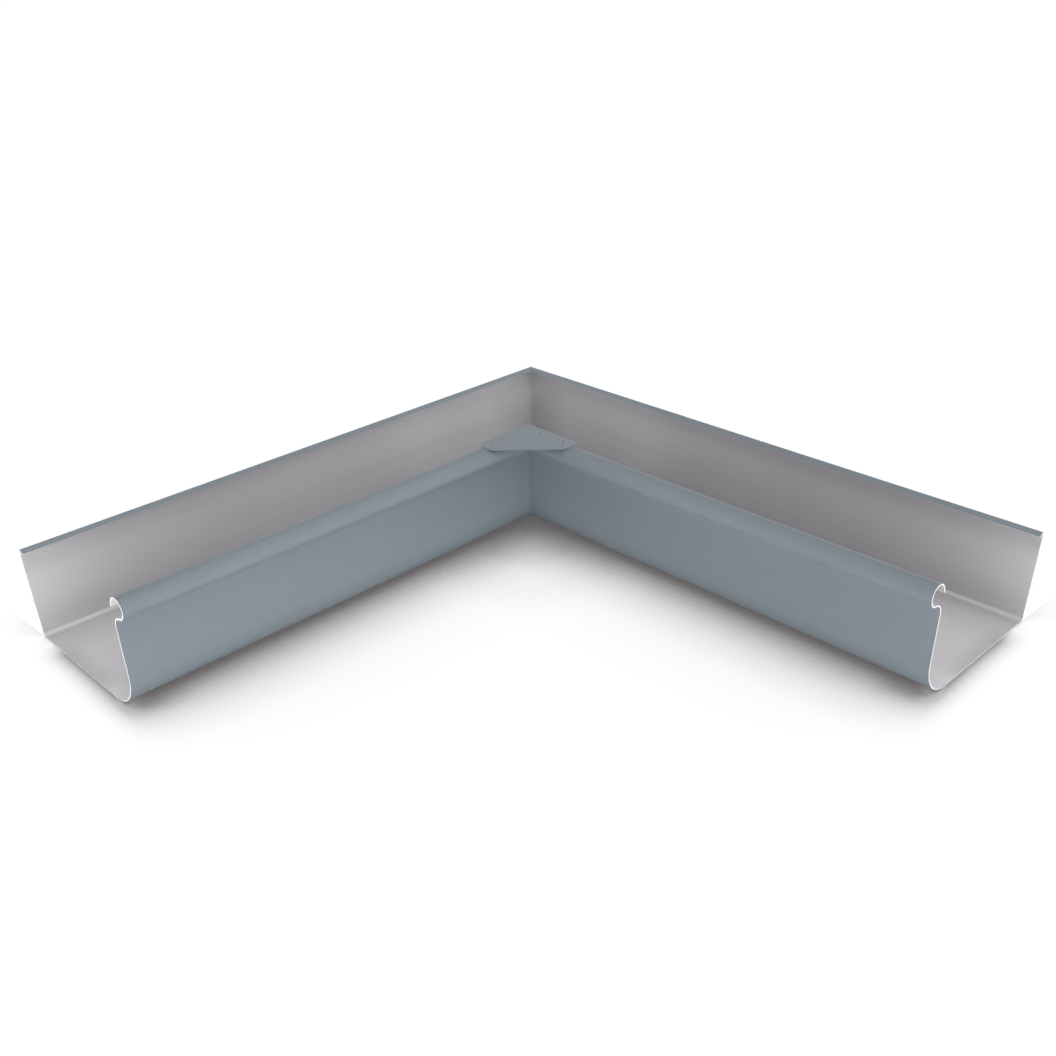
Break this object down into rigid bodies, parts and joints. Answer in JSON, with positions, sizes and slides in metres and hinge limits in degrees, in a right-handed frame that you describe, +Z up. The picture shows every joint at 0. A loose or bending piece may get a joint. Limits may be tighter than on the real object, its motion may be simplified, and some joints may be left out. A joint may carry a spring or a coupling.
{
  "type": "internal gutter corner",
  "caption": "L-shaped internal corner for a box-section sheet-metal gutter, with a mitred trough, rolled front beads and a riveted plate across their mitre.",
  "frame": {"origin": "where the two fascia boards meet, level with the underside of the sole; the top folds of both back walls touch the boards", "axes": "+X along the right leg, -Y along the left leg, +Z up"},
  "size_m": [0.486, 0.486, 0.088],
  "materials": {
    "coated_sheet": "blue-grey coil coating outside, light warm-grey primer inside, bare cut edges, satin",
    "coated_plate": "blue-grey coil coating, satin",
    "painted_rivet": "blue-grey paint, satin"
  },
  "bodies": {
    "root": {"right_leg": "coated_sheet", "left_leg": "coated_sheet", "corner_plate": "coated_plate", "rivet_right_inner": "painted_rivet", "rivet_right_outer": "painted_rivet", "rivet_left_inner": "painted_rivet", "rivet_left_outer": "painted_rivet"}
  },
  "joints": []
}
